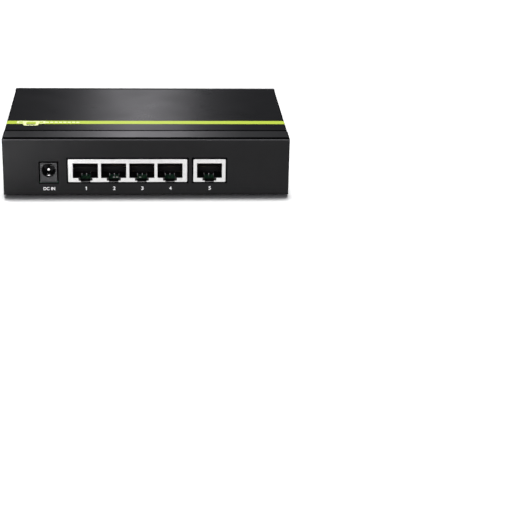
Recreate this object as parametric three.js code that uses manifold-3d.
// Five-port desktop network switch: a bent steel chassis with the port panel, a steel cover, a plastic
// LED fascia, and the circuit board with its shielded jacks, power inlet, LEDs and chips.
// Millimetres, +Z up. X runs along the port panel, the port panel faces -Y and the LED fascia faces +Y.
// The origin is the centre of the footprint, on the plane that the rubber feet stand on.

import * as THREE from 'three';
import * as BufferGeometryUtils from 'three/addons/utils/BufferGeometryUtils.js';
import Module from 'manifold-3d';

const wasm = await Module();
wasm.setup();

// ---- Driving dimensions ----------------------------------------------------------------------------

const WIDTH = 142;
const DEPTH = 93;
const BODY_HEIGHT = 29.5;
const FOOT_HEIGHT = 1.5;

const CHASSIS_SHEET = 1.0;
const COVER_SHEET = 0.8;
const BEND_RADIUS = 1.5;
const SIDE_BEND_RADIUS = 0.9; // along the sides of the top and the ends of the port panel
const FOLD_RADIUS = 0.5; // along the foot of the port panel, which is folded tighter
const BEND_STEPS = 4;
const SMALL_CORNER_STEPS = 3;
const LIP_DEPTH = 12.9; // how far the chassis wraps back over the top and sides of the port panel
const SEAM_WIDTH = 1.3; // the open seam between that lip and the cover's top
const SIDE_SEAM_WIDTH = 0.4; // the same seam down each side
const CLEARANCE = 0.3; // between sheet parts
const FINE_CLEARANCE = 0.1; // under stuck and soldered parts
const COVER_INSET = 0.15; // the cover sits this much inside the chassis lip

const PORT_COUNT = 5;
const PORT_PITCH = 13.97; // the standard pitch of ganged modular jacks
const PORTS_IN_BLOCK = 4;
const QUAD_CENTRE_X = -9.5;
const SINGLE_CENTRE_X = 31.1;
const DC_CENTRE_X = -48.55;

const BOARD_TOP = 8.2;
const BOARD_THICKNESS = 1.6;

// ---- Derived places --------------------------------------------------------------------------------

const HALF_WIDTH = WIDTH / 2;
const PORT_FACE_Y = -DEPTH / 2;
const LED_FACE_Y = DEPTH / 2;
const BASE_Z = FOOT_HEIGHT;
const TOP_Z = FOOT_HEIGHT + BODY_HEIGHT;
const FLOOR_TOP_Z = BASE_Z + CHASSIS_SHEET;
const PORT_WALL_INNER_Y = PORT_FACE_Y + CHASSIS_SHEET;
const LIP_END_Y = PORT_FACE_Y + LIP_DEPTH;
const SOLDER_Z = BOARD_TOP + FINE_CLEARANCE;
const OVERCUT = 2; // how far cutting tools run past the faces that they cut

const FASCIA_LAP = 2.6; // how far the fascia's rim laps forward over the cover's end
const FASCIA_FRONT_Y = LED_FACE_Y - FASCIA_LAP;
const REAR_WALL_INSET = 3.4; // from the fascia's face to the steel wall in front of it
const REAR_WALL_Y = LED_FACE_Y - REAR_WALL_INSET;
const COVER_START_Y = LIP_END_Y + SEAM_WIDTH;
const COVER_END_Y = FASCIA_FRONT_Y - CLEARANCE;
const COVER_HALF_WIDTH = HALF_WIDTH - COVER_INSET;
const COVER_TOP_Z = TOP_Z - COVER_INSET;
const FLANGE_OUTER_X = COVER_HALF_WIDTH - COVER_SHEET - CLEARANCE;

// ---- Geometry helpers ------------------------------------------------------------------------------

/** Turns a closed geometry into a solid that can be joined and cut. */
function toSolid(geometry) {
  const bare = geometry.index ? geometry.toNonIndexed() : geometry.clone();
  bare.deleteAttribute('normal');
  bare.deleteAttribute('uv');
  const merged = BufferGeometryUtils.mergeVertices(bare, 1e-4);
  return new wasm.Manifold(new wasm.Mesh({
    numProp: 3,
    vertProperties: new Float32Array(merged.attributes.position.array),
    triVerts: new Uint32Array(merged.index.array),
  }));
}

/** Turns a solid back into a geometry for a THREE.Mesh. */
function toGeometry(solid) {
  const mesh = solid.getMesh();
  const geometry = new THREE.BufferGeometry();
  geometry.setAttribute('position', new THREE.BufferAttribute(new Float32Array(mesh.vertProperties), 3));
  geometry.setIndex(new THREE.BufferAttribute(new Uint32Array(mesh.triVerts), 1));
  return geometry;
}

/** A box between two limits on each axis. */
function block([x0, x1], [y0, y1], [z0, z1]) {
  const geometry = new THREE.BoxGeometry(x1 - x0, y1 - y0, z1 - z0);
  geometry.translate((x0 + x1) / 2, (y0 + y1) / 2, (z0 + z1) / 2);
  return toSolid(geometry);
}

/** An outline whose corners [a, b, radius] are rounded where a radius is given. */
function outline(corners, steps = BEND_STEPS) {
  const points = [];
  corners.forEach(([a, b, radius = 0], index) => {
    const corner = new THREE.Vector2(a, b);
    if (radius === 0) {
      points.push(corner);
      return;
    }
    const [pa, pb] = corners[(index + corners.length - 1) % corners.length];
    const [na, nb] = corners[(index + 1) % corners.length];
    const toPrevious = new THREE.Vector2(pa, pb).sub(corner).normalize();
    const toNext = new THREE.Vector2(na, nb).sub(corner).normalize();
    const halfAngle = Math.acos(THREE.MathUtils.clamp(toPrevious.dot(toNext), -1, 1)) / 2;
    const centre = toPrevious.clone().add(toNext).normalize().multiplyScalar(radius / Math.sin(halfAngle));
    centre.add(corner);
    const tangent = radius / Math.tan(halfAngle);
    const from = corner.clone().addScaledVector(toPrevious, tangent).sub(centre);
    const to = corner.clone().addScaledVector(toNext, tangent).sub(centre);
    const sweep = Math.atan2(from.cross(to), from.dot(to));
    for (let step = 0; step <= steps; step += 1) {
      points.push(from.clone().rotateAround(new THREE.Vector2(), (sweep * step) / steps).add(centre));
    }
  });
  return new THREE.Shape(points);
}

/** Extrudes a shape drawn in the two axes across the given one, between two places on that axis. */
function extrude(axis, shape, [from, to]) {
  const geometry = new THREE.ExtrudeGeometry(shape, { depth: to - from, bevelEnabled: false });
  if (axis === 'x') {
    geometry.applyMatrix4(new THREE.Matrix4().set(0, 0, 1, from, 1, 0, 0, 0, 0, 1, 0, 0, 0, 0, 0, 1));
  } else if (axis === 'y') {
    geometry.applyMatrix4(new THREE.Matrix4().set(1, 0, 0, 0, 0, 0, -1, to, 0, 1, 0, 0, 0, 0, 0, 1));
  } else {
    geometry.translate(0, 0, from);
  }
  return toSolid(geometry);
}

/** A solid turned about an axis through a point. The profile is [radius, height] pairs from axis to axis. */
function turned(axis, [x, y, z], profile, segments = 20) {
  const geometry = new THREE.LatheGeometry(profile.map(([r, h]) => new THREE.Vector2(r, h)), segments);
  if (axis === 'z') {
    geometry.rotateX(Math.PI / 2);
  } else if (axis === 'x') {
    geometry.rotateZ(-Math.PI / 2);
  }
  geometry.translate(x, y, z);
  return toSolid(geometry);
}

/** A plain cylinder along an axis, between two places on it, through a point across it. */
function cylinder(axis, [a, b], radius, [from, to], segments = 20) {
  const profile = [[0, from], [radius, from], [radius, to], [0, to]];
  const centre = { x: [0, a, b], y: [a, 0, b], z: [a, b, 0] }[axis];
  return turned(axis, centre, profile, segments);
}

/** Joins a list of solids into one. */
function join(solids) {
  return solids.reduce((whole, part) => whole.add(part));
}

/** Cuts every solid in a list from the first one. */
function cut(solid, tools) {
  return tools.reduce((left, tool) => left.subtract(tool), solid);
}

// ---- Materials -------------------------------------------------------------------------------------

function material(color, roughness, metalness) {
  return new THREE.MeshStandardMaterial({ color, roughness, metalness });
}

const BLACK_COAT = () => material(0x2b2b2d, 0.45, 0.1);
const BLACK_PLASTIC = () => material(0x101011, 0.5, 0);
const GREY_PLASTIC = () => material(0x48484a, 0.55, 0);
const NICKEL = () => material(0xdcdcd8, 0.3, 0.9);
const GOLD = () => material(0xd8b45a, 0.25, 1);
const ZINC = () => material(0xb8babc, 0.4, 0.9);
const BOARD_GREEN = () => material(0x12402a, 0.45, 0);
const RUBBER = () => material(0x1c1c1c, 0.9, 0);
const LED_EPOXY = () => material(0xbfe8b0, 0.2, 0);
const LABEL_FILM = () => material(0xd8d8d4, 0.6, 0);

const group = new THREE.Group();

function addPart(name, solid, partMaterial) {
  const mesh = new THREE.Mesh(toGeometry(solid), partMaterial);
  mesh.name = name;
  group.add(mesh);
}

// ---- Ports -----------------------------------------------------------------------------------------

const OPENING_WIDTH = 12.4;
const OPENING_BOTTOM_Z = 10.58;
const OPENING_TOP_Z = 18.13;
const NOTCH_WIDTH = 6.8;
const NOTCH_BOTTOM_Z = 9.16;
const LATCH_GAP_WIDTH = 4.5;
const SHIELD_SHEET = 0.4;
const SHIELD_BOTTOM_Z = 8.4;
const SHIELD_TOP_Z = 20.34;
const SHIELD_PROUD = 0.3; // the shields stand this far out of the port panel
const SHIELD_FACE_Y = PORT_FACE_Y - SHIELD_PROUD;
const SHIELD_BACK_Y = SHIELD_FACE_Y + 17;
const SHIELD_CORNER = 0.5;
const QUAD_SHIELD_WIDTH = 59.0;
const SINGLE_SHIELD_WIDTH = 16.1;
const LATCH_SILL_THICKNESS = 0.2; // the thin plate that closes each latch gap at the bottom
const LATCH_SILL_LAP = 0.5;
const LATCH_SILL_SETBACK = 0.2;
const LATCH_SILL_DEPTH = 0.6;
const CAVITY_BACK_Y = SHIELD_FACE_Y + 13.6;
const CAVITY_WIDTH = 12.2;
const CAVITY_INSET = 0.12; // the housing's cavity is this much lower and shorter than the shield's opening

const quadPortCentres = Array.from({ length: PORTS_IN_BLOCK }, (_, index) => (
  QUAD_CENTRE_X + (index - (PORTS_IN_BLOCK - 1) / 2) * PORT_PITCH
));
const portCentres = [...quadPortCentres, SINGLE_CENTRE_X];
const jackBlocks = [
  { name: 'quad', centreX: QUAD_CENTRE_X, width: QUAD_SHIELD_WIDTH, ports: quadPortCentres },
  { name: 'single', centreX: SINGLE_CENTRE_X, width: SINGLE_SHIELD_WIDTH, ports: [SINGLE_CENTRE_X] },
];

/** The stepped hole that one port needs in the front of its shield, open downwards for the latch. */
function portOpening(x) {
  const y = [SHIELD_FACE_Y - OVERCUT, SHIELD_FACE_Y + SHIELD_SHEET + OVERCUT];
  const across = (width) => [x - width / 2, x + width / 2];
  return join([
    block(across(OPENING_WIDTH), y, [OPENING_BOTTOM_Z, OPENING_TOP_Z]),
    block(across(NOTCH_WIDTH), y, [NOTCH_BOTTOM_Z, OPENING_TOP_Z]),
    block(across(LATCH_GAP_WIDTH), y, [SHIELD_BOTTOM_Z - OVERCUT, OPENING_TOP_Z]),
  ]);
}

/** The thin plate across the foot of one port's latch gap. */
function latchSill(x) {
  const half = LATCH_GAP_WIDTH / 2 + LATCH_SILL_LAP;
  const frontY = SHIELD_FACE_Y + LATCH_SILL_SETBACK;
  return block(
    [x - half, x + half],
    [frontY, frontY + LATCH_SILL_DEPTH],
    [SHIELD_BOTTOM_Z, SHIELD_BOTTOM_Z + LATCH_SILL_THICKNESS],
  );
}

/** A nickel-plated sheet shield: a box with no bottom and a stepped opening for each port. */
function jackShield({ centreX, width, ports }) {
  const x = [centreX - width / 2, centreX + width / 2];
  const outer = extrude('y', outline([
    [x[0], SHIELD_BOTTOM_Z, SHIELD_CORNER],
    [x[1], SHIELD_BOTTOM_Z, SHIELD_CORNER],
    [x[1], SHIELD_TOP_Z, SHIELD_CORNER],
    [x[0], SHIELD_TOP_Z, SHIELD_CORNER],
  ], SMALL_CORNER_STEPS), [SHIELD_FACE_Y, SHIELD_BACK_Y]);
  const hollow = block(
    [x[0] + SHIELD_SHEET, x[1] - SHIELD_SHEET],
    [SHIELD_FACE_Y + SHIELD_SHEET, SHIELD_BACK_Y - SHIELD_SHEET],
    [SHIELD_BOTTOM_Z - OVERCUT, SHIELD_TOP_Z - SHIELD_SHEET],
  );
  return join([cut(outer, [hollow, ...ports.map(portOpening)]), ...ports.map(latchSill)]);
}

const HOUSING_INSET = SHIELD_SHEET + 0.2; // from the shield's outside to the moulded block
const HOUSING_FACE_Y = SHIELD_FACE_Y + HOUSING_INSET;
const HOUSING_BACK_Y = SHIELD_BACK_Y - HOUSING_INSET;
const HOUSING_TOP_Z = SHIELD_TOP_Z - HOUSING_INSET;
const CONTACT_RECESS_TOP_Z = 19.0;
const CONTACT_RECESS_WIDTH = 8.6;
const CONTACT_RECESS_FRONT_Y = SHIELD_FACE_Y + 2;
const LATCH_RECESS_WIDTH = 5.2;
const LATCH_RECESS_BACK_Y = SHIELD_FACE_Y + 11.9;
const LATCH_RECESS_TOP_Z = 10; // where the recess runs on under the ledge
const LATCH_BAR_BACK_Y = SHIELD_FACE_Y + 4.1; // a low bar across the front of the recess
const LATCH_BAR_TOP_Z = 8.9;
const SILL_POCKET_WIDTH = LATCH_GAP_WIDTH + 2 * (LATCH_SILL_LAP + CLEARANCE);
const SILL_POCKET_BACK_Y = SHIELD_FACE_Y + LATCH_SILL_SETBACK + LATCH_SILL_DEPTH + CLEARANCE;
const BACK_STEP_HEIGHT = 2.45; // a ledge at the foot of the cavity's back wall
const BACK_STEP_DEPTH = 3.5;

/** The moulded block behind a shield, with a cavity, a latch recess and a contact recess per port. */
function jackHousing({ centreX, width, ports }) {
  const halfWidth = width / 2 - HOUSING_INSET;
  const body = block(
    [centreX - halfWidth, centreX + halfWidth],
    [HOUSING_FACE_Y, HOUSING_BACK_Y],
    [SOLDER_Z + FINE_CLEARANCE, HOUSING_TOP_Z],
  );
  const floorZ = OPENING_BOTTOM_Z + CAVITY_INSET;
  const ceilingZ = OPENING_TOP_Z - CAVITY_INSET;
  const stepY = CAVITY_BACK_Y - BACK_STEP_DEPTH;
  const across = (x, acrossWidth) => [x - acrossWidth / 2, x + acrossWidth / 2];
  const tools = ports.flatMap((x) => [
    block(across(x, CAVITY_WIDTH), [HOUSING_FACE_Y - OVERCUT, stepY], [floorZ, ceilingZ]),
    block(across(x, CAVITY_WIDTH), [stepY - OVERCUT, CAVITY_BACK_Y], [floorZ + BACK_STEP_HEIGHT, ceilingZ]),
    block(across(x, LATCH_RECESS_WIDTH), [HOUSING_FACE_Y - OVERCUT, stepY], [LATCH_BAR_TOP_Z, ceilingZ]),
    block(
      across(x, LATCH_RECESS_WIDTH),
      [LATCH_BAR_BACK_Y, LATCH_RECESS_BACK_Y],
      [SOLDER_Z - OVERCUT, LATCH_RECESS_TOP_Z],
    ),
    block(
      across(x, SILL_POCKET_WIDTH),
      [HOUSING_FACE_Y - OVERCUT, SILL_POCKET_BACK_Y],
      [SOLDER_Z - OVERCUT, LATCH_BAR_TOP_Z],
    ),
    block(
      across(x, CONTACT_RECESS_WIDTH),
      [CONTACT_RECESS_FRONT_Y, CAVITY_BACK_Y],
      [ceilingZ - OVERCUT, CONTACT_RECESS_TOP_Z],
    ),
  ]);
  return cut(body, tools);
}

const CONTACT_COUNT = 8;
const CONTACT_PITCH = 1.02;
const CONTACT_WIDTH = 0.5;
const CONTACT_THICKNESS = 0.3;
const CONTACT_PIVOT_Y = SHIELD_FACE_Y + 2.9;
const CONTACT_PIVOT_Z = 18.3;
const CONTACT_REACH = 8.5;
const CONTACT_DROP = 2.55;
const CONTACT_TIP_Y = CONTACT_PIVOT_Y + CONTACT_REACH;
const CONTACT_TIP_Z = CONTACT_PIVOT_Z - CONTACT_DROP;
const CONTACT_BAR_SIZE = 0.8;

/** The eight spring wires of one port on their root bar. They slope back and down from the pivot. */
function portContacts(x) {
  const span = (CONTACT_COUNT - 1) * CONTACT_PITCH + CONTACT_WIDTH;
  const half = CONTACT_BAR_SIZE / 2;
  const bar = block(
    [x - span / 2, x + span / 2],
    [CONTACT_PIVOT_Y - half, CONTACT_PIVOT_Y + half],
    [CONTACT_PIVOT_Z - half, CONTACT_PIVOT_Z + half],
  );
  const side = new THREE.Shape([
    new THREE.Vector2(CONTACT_PIVOT_Y, CONTACT_PIVOT_Z),
    new THREE.Vector2(CONTACT_PIVOT_Y, CONTACT_PIVOT_Z - CONTACT_THICKNESS),
    new THREE.Vector2(CONTACT_TIP_Y, CONTACT_TIP_Z - CONTACT_THICKNESS),
    new THREE.Vector2(CONTACT_TIP_Y, CONTACT_TIP_Z),
  ]);
  const wires = Array.from({ length: CONTACT_COUNT }, (_, index) => {
    const left = x - span / 2 + index * CONTACT_PITCH;
    return extrude('x', side, [left, left + CONTACT_WIDTH]);
  });
  return join([bar, ...wires]);
}

jackBlocks.forEach((jackBlock) => {
  addPart(`${jackBlock.name}_jack_shield`, jackShield(jackBlock), NICKEL());
  addPart(`${jackBlock.name}_jack_housing`, jackHousing(jackBlock), BLACK_PLASTIC());
});
portCentres.forEach((x, index) => addPart(`port_${index + 1}_contacts`, portContacts(x), GOLD()));

// ---- Power inlet -----------------------------------------------------------------------------------

const DC_WIDTH = 8.3;
const DC_BOTTOM_Z = SOLDER_Z;
const DC_TOP_Z = 18.4;
const DC_FACE_Y = PORT_FACE_Y + 0.1;
const DC_BACK_Y = DC_FACE_Y + 12.9;
const DC_BORE_RADIUS = 3.3;
const DC_BORE_Z = 14.5;
const DC_BORE_BACK_Y = DC_FACE_Y + 9.6;
const DC_MOUTH_CHAMFER = 0.4;
const DC_PIN_RADIUS = 1.0;
const DC_PIN_TIP_ROUND = 0.4;
const DC_PIN_HOLE_RADIUS = 1.2;
const DC_PIN_TIP_Y = DC_FACE_Y + 1.2;
const DC_PIN_BACK_Y = DC_FACE_Y + 11.8;
const DC_LEAF_WIDTH = 2.2;
const DC_LEAF_THICKNESS = 0.3;
const DC_LEAF_PIVOT_Y = DC_FACE_Y + 7.9;
const DC_LEAF_PIVOT_Z = 10.4;
const DC_LEAF_ROOT_Y = [DC_LEAF_PIVOT_Y - 0.6, DC_LEAF_PIVOT_Y + 0.4];
const DC_LEAF_CREST = [DC_LEAF_PIVOT_Y - 5.3, DC_LEAF_PIVOT_Z + 1.5];
const DC_LEAF_TIP = [DC_LEAF_PIVOT_Y - 6.3, DC_LEAF_PIVOT_Z + 0.8];
const DC_SLOT_FRONT_Y = DC_FACE_Y + 1.2;
const DC_SLOT_BOTTOM_Z = 9.2;
const DC_SLOT_SIDE_GAP = 0.3;
const DC_KEY_XS = [-1.5, 0, 1.5]; // three narrow grooves along the top of the bore
const DC_KEY_WIDTH = 0.5;
const DC_KEY_DEPTH = 0.3;

function dcJackHousing() {
  const body = block(
    [DC_CENTRE_X - DC_WIDTH / 2, DC_CENTRE_X + DC_WIDTH / 2],
    [DC_FACE_Y, DC_BACK_Y],
    [DC_BOTTOM_Z, DC_TOP_Z],
  );
  const bore = turned('y', [DC_CENTRE_X, 0, DC_BORE_Z], [
    [0, DC_FACE_Y - OVERCUT],
    [DC_BORE_RADIUS + DC_MOUTH_CHAMFER, DC_FACE_Y - OVERCUT],
    [DC_BORE_RADIUS + DC_MOUTH_CHAMFER, DC_FACE_Y],
    [DC_BORE_RADIUS, DC_FACE_Y + DC_MOUTH_CHAMFER],
    [DC_BORE_RADIUS, DC_BORE_BACK_Y],
    [0, DC_BORE_BACK_Y],
  ], 24);
  const pinHole = cylinder(
    'y', [DC_CENTRE_X, DC_BORE_Z], DC_PIN_HOLE_RADIUS, [DC_BORE_BACK_Y - OVERCUT, DC_BACK_Y + OVERCUT], 12,
  );
  const slotHalfWidth = DC_LEAF_WIDTH / 2 + DC_SLOT_SIDE_GAP;
  const leafSlot = block(
    [DC_CENTRE_X - slotHalfWidth, DC_CENTRE_X + slotHalfWidth],
    [DC_SLOT_FRONT_Y, DC_BORE_BACK_Y],
    [DC_SLOT_BOTTOM_Z, DC_BORE_Z - DC_BORE_RADIUS / 2],
  );
  const keyGrooves = DC_KEY_XS.map((offset) => {
    const x = DC_CENTRE_X + offset;
    const topZ = DC_BORE_Z + Math.sqrt(DC_BORE_RADIUS ** 2 - offset ** 2) + DC_KEY_DEPTH;
    const halfWidth = DC_KEY_WIDTH / 2;
    return block([x - halfWidth, x + halfWidth], [DC_FACE_Y - OVERCUT, DC_BORE_BACK_Y], [DC_BORE_Z, topZ]);
  });
  return cut(body, [bore, pinHole, leafSlot, ...keyGrooves]);
}

function dcJackPin() {
  return turned('y', [DC_CENTRE_X, 0, DC_BORE_Z], [
    [0, DC_PIN_TIP_Y],
    [DC_PIN_RADIUS - DC_PIN_TIP_ROUND, DC_PIN_TIP_Y],
    [DC_PIN_RADIUS, DC_PIN_TIP_Y + DC_PIN_TIP_ROUND],
    [DC_PIN_RADIUS, DC_PIN_BACK_Y],
    [0, DC_PIN_BACK_Y],
  ], 16);
}

/** The sprung strip under the plug: it rises from its root to a crest and dips again at its tip. */
function dcJackLeaf() {
  const top = [
    [DC_LEAF_ROOT_Y[1], DC_LEAF_PIVOT_Z],
    [DC_LEAF_ROOT_Y[0], DC_LEAF_PIVOT_Z],
    DC_LEAF_CREST,
    DC_LEAF_TIP,
  ];
  const under = top.map(([y, z]) => [y, z - DC_LEAF_THICKNESS]).reverse();
  const side = new THREE.Shape([...top, ...under].map(([y, z]) => new THREE.Vector2(y, z)));
  return extrude('x', side, [DC_CENTRE_X - DC_LEAF_WIDTH / 2, DC_CENTRE_X + DC_LEAF_WIDTH / 2]);
}

addPart('dc_jack_housing', dcJackHousing(), GREY_PLASTIC());
addPart('dc_jack_pin', dcJackPin(), NICKEL());
addPart('dc_jack_leaf_contact', dcJackLeaf(), NICKEL());

// ---- LEDs along the fascia -------------------------------------------------------------------------

const LED_COUNT = PORT_COUNT + 1; // one per port and one for power
const LED_PITCH = 11;
const LED_Z = 13;
const LED_RADIUS = 1.5;
const LED_TIP_Y = LED_FACE_Y + SHIELD_PROUD;
const LED_BACK_Y = LED_TIP_Y - 5.4;
const LED_HOLDER_WIDTH = 4.4;
const LED_HOLDER_DEPTH = 5;
const LED_HOLE_CLEARANCE = 0.2;

const ledCentres = Array.from({ length: LED_COUNT }, (_, index) => (
  (index - (LED_COUNT - 1) / 2) * LED_PITCH
));
const ledNames = ['power_led', ...portCentres.map((_, index) => `port_${index + 1}_led`)];

/** A row of round holes for the LEDs, through whatever lies between two places on Y. */
function ledHoles(y) {
  return ledCentres.map((x) => cylinder('y', [x, LED_Z], LED_RADIUS + LED_HOLE_CLEARANCE, y, 16));
}

function led(x) {
  const domeSteps = 4;
  const domeCentreY = LED_TIP_Y - LED_RADIUS;
  const dome = Array.from({ length: domeSteps + 1 }, (_, step) => {
    const angle = (Math.PI / 2) * (step / domeSteps);
    return [LED_RADIUS * Math.cos(angle), domeCentreY + LED_RADIUS * Math.sin(angle)];
  });
  dome[domeSteps][0] = 0;
  return turned('y', [x, 0, LED_Z], [[0, LED_BACK_Y], [LED_RADIUS, LED_BACK_Y], ...dome], 16);
}

function ledHolder(x) {
  const backY = LED_BACK_Y - CLEARANCE - LED_HOLDER_DEPTH;
  return block(
    [x - LED_HOLDER_WIDTH / 2, x + LED_HOLDER_WIDTH / 2],
    [backY, backY + LED_HOLDER_DEPTH],
    [SOLDER_Z, LED_Z + LED_HOLDER_WIDTH / 2],
  );
}

ledCentres.forEach((x, index) => {
  addPart(ledNames[index], led(x), LED_EPOXY());
  addPart(`${ledNames[index]}_holder`, ledHolder(x), BLACK_PLASTIC());
});

// ---- Chassis ---------------------------------------------------------------------------------------

const FLANGE_HEIGHT = 10.5;
const REAR_WALL_TOP_Z = 29;
const REAR_WALL_HALF_WIDTH = 69;
const FLANGE_END_GAP = 0.4;
const CUTOUT_GAP = 0.25;
const CUTOUT_TOP_GAP = 0.5;
const DC_CUTOUT_SIDE_GAP = 0.55;
const DC_CUTOUT_TOP_GAP = 0.7;
const DC_CUTOUT_BOTTOM_GAP = 0.5;
const COVER_SCREW_Z = 7;
const COVER_SCREW_YS = [-20, 26];
const COVER_SCREW_RADIUS = 1.35;
const FLANGE_HOLE_RADIUS = 1.8;

/** The floor with the port wall and lip at one end and the rear wall at the other, cut square across X. */
function chassisStrip() {
  const side = outline([
    [LIP_END_Y, TOP_Z],
    [PORT_FACE_Y, TOP_Z, BEND_RADIUS],
    [PORT_FACE_Y, BASE_Z, FOLD_RADIUS],
    [REAR_WALL_Y + CHASSIS_SHEET, BASE_Z, BEND_RADIUS],
    [REAR_WALL_Y + CHASSIS_SHEET, REAR_WALL_TOP_Z],
    [REAR_WALL_Y, REAR_WALL_TOP_Z],
    [REAR_WALL_Y, FLOOR_TOP_Z],
    [PORT_WALL_INNER_Y, FLOOR_TOP_Z],
    [PORT_WALL_INNER_Y, TOP_Z - CHASSIS_SHEET],
    [LIP_END_Y, TOP_Z - CHASSIS_SHEET],
  ]);
  const strip = extrude('x', side, [-FLANGE_OUTER_X, FLANGE_OUTER_X]);
  const rearTrims = [-1, 1].map((sign) => {
    const x = [REAR_WALL_HALF_WIDTH * sign, (HALF_WIDTH + OVERCUT) * sign].sort((a, b) => a - b);
    return block(x, [COVER_END_Y, LED_FACE_Y], [0, TOP_Z]);
  });
  return cut(strip, rearTrims);
}

/** The full-width port panel with its lip and side returns, rounded along every outer bend. */
function portBezel() {
  const side = outline([
    [LIP_END_Y, TOP_Z],
    [PORT_FACE_Y, TOP_Z, BEND_RADIUS],
    [PORT_FACE_Y, BASE_Z, FOLD_RADIUS],
    [LIP_END_Y, BASE_Z],
  ]);
  const plan = outline([
    [-HALF_WIDTH, LIP_END_Y],
    [-HALF_WIDTH, PORT_FACE_Y, SIDE_BEND_RADIUS],
    [HALF_WIDTH, PORT_FACE_Y, SIDE_BEND_RADIUS],
    [HALF_WIDTH, LIP_END_Y],
  ]);
  const front = outline([
    [-HALF_WIDTH, BASE_Z],
    [HALF_WIDTH, BASE_Z],
    [HALF_WIDTH, TOP_Z, SIDE_BEND_RADIUS],
    [-HALF_WIDTH, TOP_Z, SIDE_BEND_RADIUS],
  ]);
  const outer = extrude('x', side, [-HALF_WIDTH, HALF_WIDTH])
    .intersect(extrude('z', plan, [BASE_Z, TOP_Z]))
    .intersect(extrude('y', front, [PORT_FACE_Y, LIP_END_Y]));
  const inside = block(
    [-HALF_WIDTH + CHASSIS_SHEET, HALF_WIDTH - CHASSIS_SHEET],
    [PORT_WALL_INNER_Y, LIP_END_Y + OVERCUT],
    [FLOOR_TOP_Z, TOP_Z - CHASSIS_SHEET],
  );
  return outer.subtract(inside);
}

/** Upright flanges along both sides of the floor that the cover screws to. */
function sideFlanges() {
  return [-1, 1].map((sign) => {
    const x = [(FLANGE_OUTER_X - CHASSIS_SHEET) * sign, FLANGE_OUTER_X * sign].sort((a, b) => a - b);
    return block(x, [PORT_WALL_INNER_Y, COVER_END_Y - FLANGE_END_GAP], [BASE_Z, BASE_Z + FLANGE_HEIGHT]);
  });
}

function panelCutouts() {
  const y = [PORT_FACE_Y - OVERCUT, PORT_WALL_INNER_Y + OVERCUT];
  const forShield = ({ centreX, width }) => extrude('y', outline([
    [centreX - width / 2 - CUTOUT_GAP, SHIELD_BOTTOM_Z - CUTOUT_GAP, SHIELD_CORNER],
    [centreX + width / 2 + CUTOUT_GAP, SHIELD_BOTTOM_Z - CUTOUT_GAP, SHIELD_CORNER],
    [centreX + width / 2 + CUTOUT_GAP, SHIELD_TOP_Z + CUTOUT_TOP_GAP, SHIELD_CORNER],
    [centreX - width / 2 - CUTOUT_GAP, SHIELD_TOP_Z + CUTOUT_TOP_GAP, SHIELD_CORNER],
  ], SMALL_CORNER_STEPS), y);
  const forInlet = block(
    [DC_CENTRE_X - DC_WIDTH / 2 - DC_CUTOUT_SIDE_GAP, DC_CENTRE_X + DC_WIDTH / 2 + DC_CUTOUT_SIDE_GAP],
    y,
    [DC_BOTTOM_Z - DC_CUTOUT_BOTTOM_GAP, DC_TOP_Z + DC_CUTOUT_TOP_GAP],
  );
  return [...jackBlocks.map(forShield), forInlet];
}

/** Clearance holes for the cover screws, through both flanges. */
function flangeScrewHoles() {
  return COVER_SCREW_YS.map((y) => (
    cylinder('x', [y, COVER_SCREW_Z], FLANGE_HOLE_RADIUS, [-HALF_WIDTH, HALF_WIDTH], 16)
  ));
}

const chassis = cut(join([chassisStrip(), portBezel(), ...sideFlanges()]), [
  ...panelCutouts(),
  ...ledHoles([REAR_WALL_Y - OVERCUT, LED_FACE_Y]),
  ...flangeScrewHoles(),
]);
addPart('chassis_pan', chassis, BLACK_COAT());

// ---- Cover and its screws --------------------------------------------------------------------------

const COVER_BOTTOM_Z = 1.8;
const TONGUE_HALF_WIDTH = 68;
const TONGUE_END_Y = -40;
const SIDE_TONGUE_BOTTOM_Z = 12.5; // just above the flanges
const SIDE_TONGUE_TOP_Z = 28.5;
const VENT_COUNT = 9;
const VENT_PITCH = 5;
const VENT_WIDTH = 2;
const VENT_END_RADIUS = 0.99;
const VENT_BOTTOM_Z = 15;
const VENT_TOP_Z = 26;
const VENT_CENTRE_Y = 3;
const SCREW_HEAD_RADIUS = 2.7;
const SCREW_HEAD_DEPTH = 1.15;
const SCREW_HEAD_SUNK = 0.05;
const SCREW_LENGTH = 4;
const SCREW_HOLE_CLEARANCE = 0.15;
const CROSS_DEPTH = 0.7;
const CROSS_SPAN = 2.8;
const CROSS_ARM_WIDTH = 0.56;

/** The channel-shaped cover: top and two sides, with rounded long edges. */
function coverChannel() {
  const inner = COVER_HALF_WIDTH - COVER_SHEET;
  const innerRadius = SIDE_BEND_RADIUS - COVER_SHEET;
  const section = outline([
    [-COVER_HALF_WIDTH, COVER_BOTTOM_Z],
    [-inner, COVER_BOTTOM_Z],
    [-inner, COVER_TOP_Z - COVER_SHEET, innerRadius],
    [inner, COVER_TOP_Z - COVER_SHEET, innerRadius],
    [inner, COVER_BOTTOM_Z],
    [COVER_HALF_WIDTH, COVER_BOTTOM_Z],
    [COVER_HALF_WIDTH, COVER_TOP_Z, SIDE_BEND_RADIUS],
    [-COVER_HALF_WIDTH, COVER_TOP_Z, SIDE_BEND_RADIUS],
  ]);
  return extrude('y', section, [COVER_START_Y, COVER_END_Y]);
}

/** The cover's sides reach further forward than its top, so the seam is narrower there. */
function coverSideEdges() {
  return [-1, 1].map((sign) => {
    const x = [(COVER_HALF_WIDTH - COVER_SHEET) * sign, COVER_HALF_WIDTH * sign].sort((a, b) => a - b);
    const y = [LIP_END_Y + SIDE_SEAM_WIDTH, COVER_START_Y + OVERCUT];
    return block(x, y, [COVER_BOTTOM_Z, COVER_TOP_Z - SIDE_BEND_RADIUS]);
  });
}

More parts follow.
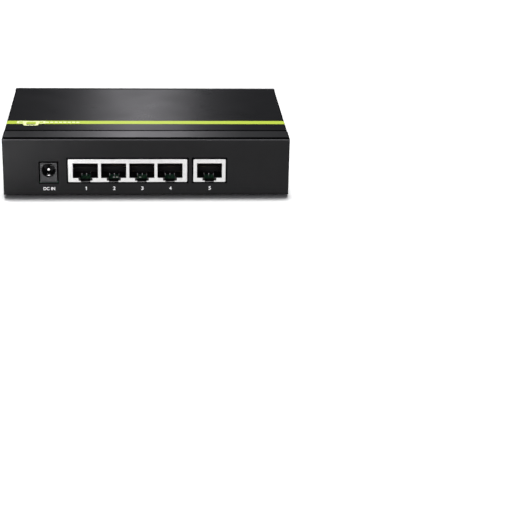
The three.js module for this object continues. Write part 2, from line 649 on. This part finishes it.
/** The stepped tongue along the cover's front edge that slides in under the chassis lip. */
function coverTongue() {
  const x = [-TONGUE_HALF_WIDTH, TONGUE_HALF_WIDTH];
  const tongueTop = TOP_Z - CHASSIS_SHEET - CLEARANCE;
  const tongueBottom = tongueTop - COVER_SHEET;
  return join([
    block(x, [COVER_START_Y, COVER_START_Y + COVER_SHEET], [tongueBottom, COVER_TOP_Z - COVER_SHEET / 2]),
    block(x, [TONGUE_END_Y, COVER_START_Y + COVER_SHEET], [tongueBottom, tongueTop]),
  ]);
}

/** The same step down each side, above the flanges, that backs the seam there. */
function sideTongues() {
  const outerX = HALF_WIDTH - CHASSIS_SHEET - CLEARANCE;
  const innerX = outerX - COVER_SHEET;
  const endY = COVER_START_Y + COVER_SHEET;
  const z = [SIDE_TONGUE_BOTTOM_Z, SIDE_TONGUE_TOP_Z];
  const right = join([
    block([innerX, outerX], [TONGUE_END_Y, endY], z),
    block([innerX, COVER_HALF_WIDTH - COVER_SHEET / 2], [COVER_START_Y, endY], z),
  ]);
  return [right, right.mirror([1, 0, 0])];
}

/** Round-ended ventilation slots through both sides of the cover. */
function ventSlots() {
  return Array.from({ length: VENT_COUNT }, (_, index) => {
    const y = VENT_CENTRE_Y + (index - (VENT_COUNT - 1) / 2) * VENT_PITCH;
    const half = VENT_WIDTH / 2;
    const slot = outline([
      [y - half, VENT_BOTTOM_Z, VENT_END_RADIUS],
      [y + half, VENT_BOTTOM_Z, VENT_END_RADIUS],
      [y + half, VENT_TOP_Z, VENT_END_RADIUS],
      [y - half, VENT_TOP_Z, VENT_END_RADIUS],
    ], SMALL_CORNER_STEPS);
    return extrude('x', slot, [-HALF_WIDTH - OVERCUT, HALF_WIDTH + OVERCUT]);
  });
}

/** A countersunk shape on the +X side, whose head ends flat at the given X. */
function countersunk(y, headX, grown = 0) {
  const rimX = COVER_HALF_WIDTH - SCREW_HEAD_SUNK;
  return turned('x', [0, y, COVER_SCREW_Z], [
    [0, COVER_HALF_WIDTH - SCREW_LENGTH],
    [COVER_SCREW_RADIUS + grown, COVER_HALF_WIDTH - SCREW_LENGTH],
    [COVER_SCREW_RADIUS + grown, rimX - SCREW_HEAD_DEPTH],
    [SCREW_HEAD_RADIUS + grown, rimX],
    [SCREW_HEAD_RADIUS + grown, headX],
    [0, headX],
  ], 16);
}

/** One cover screw on the +X side, with a cross recess. */
function coverScrew(y) {
  const depth = [COVER_HALF_WIDTH - CROSS_DEPTH, COVER_HALF_WIDTH + OVERCUT];
  const long = CROSS_SPAN / 2;
  const short = CROSS_ARM_WIDTH / 2;
  return cut(countersunk(y, COVER_HALF_WIDTH), [
    block(depth, [y - long, y + long], [COVER_SCREW_Z - short, COVER_SCREW_Z + short]),
    block(depth, [y - short, y + short], [COVER_SCREW_Z - long, COVER_SCREW_Z + long]),
  ]);
}

const screwHoles = COVER_SCREW_YS.flatMap((y) => {
  const hole = countersunk(y, COVER_HALF_WIDTH + OVERCUT, SCREW_HOLE_CLEARANCE);
  return [hole, hole.mirror([1, 0, 0])];
});
const coverSheet = join([coverChannel(), ...coverSideEdges(), coverTongue(), ...sideTongues()]);
addPart('top_cover', cut(coverSheet, [...ventSlots(), ...screwHoles]), BLACK_COAT());

COVER_SCREW_YS.forEach((y, index) => {
  const screw = coverScrew(y);
  addPart(`cover_screw_right_${index + 1}`, screw, ZINC());
  addPart(`cover_screw_left_${index + 1}`, screw.mirror([1, 0, 0]), ZINC());
});

// ---- LED fascia ------------------------------------------------------------------------------------

const FASCIA_RIM = 1.6;
const FASCIA_PLATE_Y = LED_FACE_Y - 2;
const FASCIA_EDGE_RADIUS = 0.9;

/** The moulded end cap: a plate with a rim that laps over the cover's end on the top and both sides. */
function ledFascia() {
  const plan = outline([
    [-HALF_WIDTH, FASCIA_FRONT_Y],
    [HALF_WIDTH, FASCIA_FRONT_Y],
    [HALF_WIDTH, LED_FACE_Y, FASCIA_EDGE_RADIUS],
    [-HALF_WIDTH, LED_FACE_Y, FASCIA_EDGE_RADIUS],
  ]);
  const side = outline([
    [FASCIA_FRONT_Y, BASE_Z],
    [LED_FACE_Y, BASE_Z, FASCIA_EDGE_RADIUS],
    [LED_FACE_Y, TOP_Z, FASCIA_EDGE_RADIUS],
    [FASCIA_FRONT_Y, TOP_Z],
  ]);
  const front = outline([
    [-HALF_WIDTH, BASE_Z],
    [HALF_WIDTH, BASE_Z],
    [HALF_WIDTH, TOP_Z, SIDE_BEND_RADIUS],
    [-HALF_WIDTH, TOP_Z, SIDE_BEND_RADIUS],
  ]);
  const outer = extrude('z', plan, [BASE_Z, TOP_Z])
    .intersect(extrude('x', side, [-HALF_WIDTH, HALF_WIDTH]))
    .intersect(extrude('y', front, [FASCIA_FRONT_Y, LED_FACE_Y]));
  const inside = block(
    [-HALF_WIDTH + FASCIA_RIM, HALF_WIDTH - FASCIA_RIM],
    [FASCIA_FRONT_Y - OVERCUT, FASCIA_PLATE_Y],
    [BASE_Z - OVERCUT, TOP_Z - FASCIA_RIM],
  );
  return cut(outer, [inside, ...ledHoles([FASCIA_PLATE_Y - OVERCUT, LED_FACE_Y + OVERCUT])]);
}

addPart('led_fascia', ledFascia(), BLACK_PLASTIC());

// ---- Circuit board, standoffs and screws -----------------------------------------------------------

const BOARD_HALF_WIDTH = 66;
const BOARD_REAR_GAP = 0.6;
const BOARD_Y = [PORT_WALL_INNER_Y + CLEARANCE, REAR_WALL_Y - BOARD_REAR_GAP];
const BOARD_BOTTOM_Z = BOARD_TOP - BOARD_THICKNESS;
const BOARD_SCREW_XY = [[-60, -38], [60, -38], [60, 30], [-60, 30]];
const BOARD_HOLE_RADIUS = 1.6;
const STANDOFF_RADIUS = 2.75;
const STANDOFF_BORE = 1.35;
const BOARD_SCREW_RADIUS = 1.2;
const BOARD_SCREW_HEAD_RADIUS = 2.6;
const BOARD_SCREW_HEAD_HEIGHT = 1.6;
const BOARD_SCREW_HEAD_ROUND = 0.6;
const BOARD_SCREW_END_Z = FLOOR_TOP_Z + 0.8;

const board = cut(
  block([-BOARD_HALF_WIDTH, BOARD_HALF_WIDTH], BOARD_Y, [BOARD_BOTTOM_Z, BOARD_TOP]),
  BOARD_SCREW_XY.map(([x, y]) => cylinder('z', [x, y], BOARD_HOLE_RADIUS, [0, TOP_Z], 16)),
);
addPart('main_board', board, BOARD_GREEN());

BOARD_SCREW_XY.forEach(([x, y], index) => {
  const pillar = [FLOOR_TOP_Z + FINE_CLEARANCE, BOARD_BOTTOM_Z - FINE_CLEARANCE];
  const standoff = cylinder('z', [x, y], STANDOFF_RADIUS, pillar, 16)
    .subtract(cylinder('z', [x, y], STANDOFF_BORE, [0, TOP_Z], 12));
  addPart(`standoff_${index + 1}`, standoff, ZINC());

  const headTop = SOLDER_Z + BOARD_SCREW_HEAD_HEIGHT;
  const screw = turned('z', [x, y, 0], [
    [0, BOARD_SCREW_END_Z],
    [BOARD_SCREW_RADIUS, BOARD_SCREW_END_Z],
    [BOARD_SCREW_RADIUS, SOLDER_Z],
    [BOARD_SCREW_HEAD_RADIUS, SOLDER_Z],
    [BOARD_SCREW_HEAD_RADIUS, headTop - BOARD_SCREW_HEAD_ROUND],
    [BOARD_SCREW_HEAD_RADIUS - BOARD_SCREW_HEAD_ROUND, headTop],
    [0, headTop],
  ], 16);
  addPart(`board_screw_${index + 1}`, screw, ZINC());
});

// ---- Parts on the board ----------------------------------------------------------------------------

/** A rectangular component standing on the board, centred on x and y. */
function component(x, y, [width, depth, height]) {
  const z = [SOLDER_Z, SOLDER_Z + height];
  return block([x - width / 2, x + width / 2], [y - depth / 2, y + depth / 2], z);
}

const MAGNETICS_SIZE = [12.6, 7, 5.8];
const MAGNETICS_Y = -22;
const CHIP_SIZE = [14, 14, 1.4];
const CHIP_XY = [0, 6];
const HEAT_SINK_SIZE = 20;
const HEAT_SINK_BASE = 2;
const FIN_HEIGHT = 6;
const FIN_THICKNESS = 1.2;
const FIN_COUNT = 6;
const CRYSTAL_SIZE = [11, 4.6, 3.6];
const INDUCTOR_SIZE = [7.5, 7.5, 4];
const REGULATOR_SIZE = [6.5, 6, 2.3];
const MEMORY_SIZE = [5, 4, 1.5];
const CAPACITOR_RADIUS = 3.15;
const CAPACITOR_HEIGHT = 9;
const CAPACITOR_GROOVE = 0.35;
const CAPACITOR_GROOVE_Z = [SOLDER_Z + 0.8, SOLDER_Z + 1.2, SOLDER_Z + 1.6];

portCentres.forEach((x, index) => {
  addPart(`port_${index + 1}_magnetics`, component(x, MAGNETICS_Y, MAGNETICS_SIZE), BLACK_PLASTIC());
});

function heatSink() {
  const [x, y] = CHIP_XY;
  const half = HEAT_SINK_SIZE / 2;
  const baseZ = SOLDER_Z + CHIP_SIZE[2] + FINE_CLEARANCE;
  const finZ = [baseZ + HEAT_SINK_BASE / 2, baseZ + HEAT_SINK_BASE + FIN_HEIGHT];
  const base = block([x - half, x + half], [y - half, y + half], [baseZ, baseZ + HEAT_SINK_BASE]);
  const fins = Array.from({ length: FIN_COUNT }, (_, index) => {
    const left = x - half + (index * (HEAT_SINK_SIZE - FIN_THICKNESS)) / (FIN_COUNT - 1);
    return block([left, left + FIN_THICKNESS], [y - half, y + half], finZ);
  });
  return join([base, ...fins]);
}

/** A radial electrolytic capacitor with the crimped groove near its foot. */
function capacitor(x, y) {
  const top = SOLDER_Z + CAPACITOR_HEIGHT;
  const [below, middle, above] = CAPACITOR_GROOVE_Z;
  return turned('z', [x, y, 0], [
    [0, SOLDER_Z],
    [CAPACITOR_RADIUS, SOLDER_Z],
    [CAPACITOR_RADIUS, below],
    [CAPACITOR_RADIUS - CAPACITOR_GROOVE, middle],
    [CAPACITOR_RADIUS, above],
    [CAPACITOR_RADIUS, top - CAPACITOR_GROOVE],
    [CAPACITOR_RADIUS - CAPACITOR_GROOVE, top],
    [0, top],
  ], 18);
}

const FLAT_LEFT_BETWEEN_ROUNDS = 0.02;

/** The metal can of the clock crystal, with round ends. */
function crystalCan(x, y, [length, width, height]) {
  const radius = width / 2 - FLAT_LEFT_BETWEEN_ROUNDS / 2;
  const plan = outline([
    [x - length / 2, y - width / 2, radius],
    [x + length / 2, y - width / 2, radius],
    [x + length / 2, y + width / 2, radius],
    [x - length / 2, y + width / 2, radius],
  ], SMALL_CORNER_STEPS);
  return extrude('z', plan, [SOLDER_Z, SOLDER_Z + height]);
}

addPart('switch_chip', component(...CHIP_XY, CHIP_SIZE), BLACK_PLASTIC());
addPart('heat_sink', heatSink(), ZINC());
addPart('clock_crystal', crystalCan(-18, 8, CRYSTAL_SIZE), ZINC());
addPart('power_inductor', component(-44, -22, INDUCTOR_SIZE), GREY_PLASTIC());
addPart('input_capacitor', capacitor(-55, -24), BLACK_PLASTIC());
addPart('output_capacitor', capacitor(-44, -11), BLACK_PLASTIC());
addPart('voltage_regulator', component(-55, -12, REGULATOR_SIZE), BLACK_PLASTIC());
addPart('config_memory', component(18, 10, MEMORY_SIZE), BLACK_PLASTIC());

// ---- Underside -------------------------------------------------------------------------------------

const FOOT_RADIUS = 5;
const FOOT_X = 59;
const FOOT_Y = 36;
const FOOT_CHAMFER = 0.4;
const LABEL_SIZE = [48, 26];
const LABEL_THICKNESS = 0.1;

[[-1, -1], [1, -1], [1, 1], [-1, 1]].forEach(([signX, signY], index) => {
  const foot = turned('z', [signX * FOOT_X, signY * FOOT_Y, 0], [
    [0, 0],
    [FOOT_RADIUS - FOOT_CHAMFER, 0],
    [FOOT_RADIUS, FOOT_CHAMFER],
    [FOOT_RADIUS, BASE_Z - FINE_CLEARANCE],
    [0, BASE_Z - FINE_CLEARANCE],
  ], 24);
  addPart(`rubber_foot_${index + 1}`, foot, RUBBER());
});

const labelTop = BASE_Z - FINE_CLEARANCE;
addPart('rating_label', block(
  [-LABEL_SIZE[0] / 2, LABEL_SIZE[0] / 2],
  [-LABEL_SIZE[1] / 2, LABEL_SIZE[1] / 2],
  [labelTop - LABEL_THICKNESS, labelTop],
), LABEL_FILM());

export default group;
